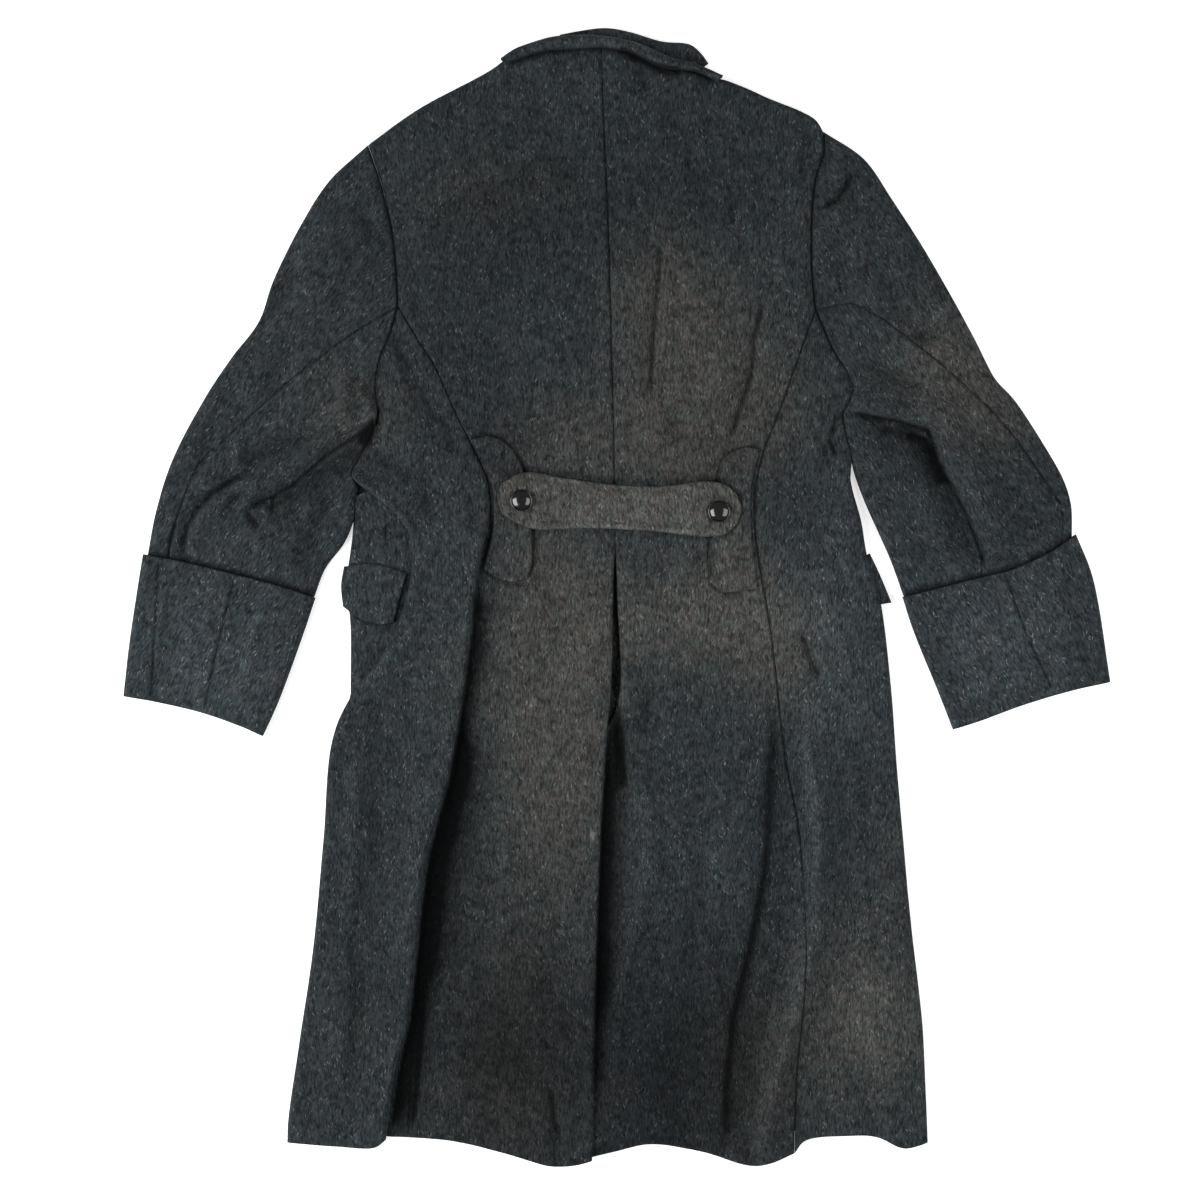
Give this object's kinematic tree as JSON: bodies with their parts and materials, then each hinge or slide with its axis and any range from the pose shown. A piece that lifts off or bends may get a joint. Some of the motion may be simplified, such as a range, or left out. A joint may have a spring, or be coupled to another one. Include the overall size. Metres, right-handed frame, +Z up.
{
  "type": "military greatcoat",
  "caption": "Double-breasted wool greatcoat laid flat, back up, with turned-back cuffs, back vent and a buttoned half belt.",
  "frame": {"origin": "centre of the coat's outline on the surface that it lies on", "axes": "+X across the coat to the wearer's right, +Y up the coat to the collar, +Z up from the surface, out of the back"},
  "size_m": [1.0345, 1.193, 0.0283],
  "materials": {
    "coat_wool": "milled, napped wool",
    "belt_wool": "milled wool, worn and brownish",
    "belt_button": "polished black"
  },
  "bodies": {
    "root": {"front_left": "coat_wool", "front_right": "coat_wool", "front_wrap_left": "coat_wool", "back_left": "coat_wool", "back_right": "coat_wool", "side_left": "coat_wool", "side_right": "coat_wool", "sleeve_left_top": "coat_wool", "sleeve_left_under": "coat_wool", "sleeve_right_top": "coat_wool", "sleeve_right_under": "coat_wool", "cuff_left": "coat_wool", "cuff_right": "coat_wool", "half_belt": "belt_wool", "tab_left": "belt_wool", "tab_right": "belt_wool", "flap_left": "coat_wool", "flap_right": "coat_wool", "collar_roll": "coat_wool", "collar_leaf": "coat_wool", "button_left": "belt_button", "button_right": "belt_button"}
  },
  "joints": []
}
